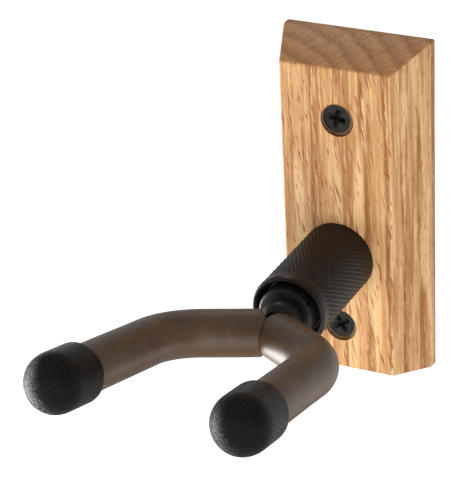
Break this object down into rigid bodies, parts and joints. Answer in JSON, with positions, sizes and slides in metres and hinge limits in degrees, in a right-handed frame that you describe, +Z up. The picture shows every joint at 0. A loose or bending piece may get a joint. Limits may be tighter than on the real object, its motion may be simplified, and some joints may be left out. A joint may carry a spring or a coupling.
{
  "type": "wall guitar hanger",
  "caption": "Bevelled oak wall block with a knurled hub and a padded steel yoke that swivels to hold a guitar by its headstock.",
  "frame": {"origin": "middle of the oak block's flat back face, which lies on the wall", "axes": "+Y into the wall, so the yoke stands out along -Y; +Z up; +X to the right of someone facing the wall"},
  "size_m": [0.0866, 0.2105, 0.133],
  "materials": {
    "oak": "clear satin finish over open-grained oak",
    "black_screw": "black oxide, satin",
    "hub_black": "black, knurled",
    "gloss_black": "gloss black coating",
    "bronze": "sintered bronze",
    "zinc_steel": "zinc plated",
    "spring_steel": "plain spring steel",
    "nylon": "natural nylon",
    "brown_tube": "satin soft rubber tubing",
    "black_cap": "matte rubber"
  },
  "bodies": {
    "base": {"wall_block": "oak", "upper_wall_screw": "black_screw", "lower_wall_screw": "black_screw", "hub_sleeve": "hub_black", "front_bush": "bronze", "rear_bush": "bronze", "block_washer": "zinc_steel"},
    "yoke": {"thrust_washer": "nylon", "swivel_boss": "gloss_black", "boss_set_screw": "black_screw", "pivot_stud": "zinc_steel", "inner_disc_spring": "spring_steel", "outer_disc_spring": "spring_steel", "nut_washer": "zinc_steel", "lock_nut": "zinc_steel", "lock_nut_insert": "nylon", "yoke_rod": "gloss_black", "left_arm_tube": "brown_tube", "right_arm_tube": "brown_tube", "left_end_cap": "black_cap", "right_end_cap": "black_cap"}
  },
  "joints": [
    {"name": "yoke_swivel", "type": "hinge", "parent": "base", "child": "yoke", "pos_m": [0, -0.0698, -0.0144], "axis": [0, 1, 0], "continuous": true}
  ]
}
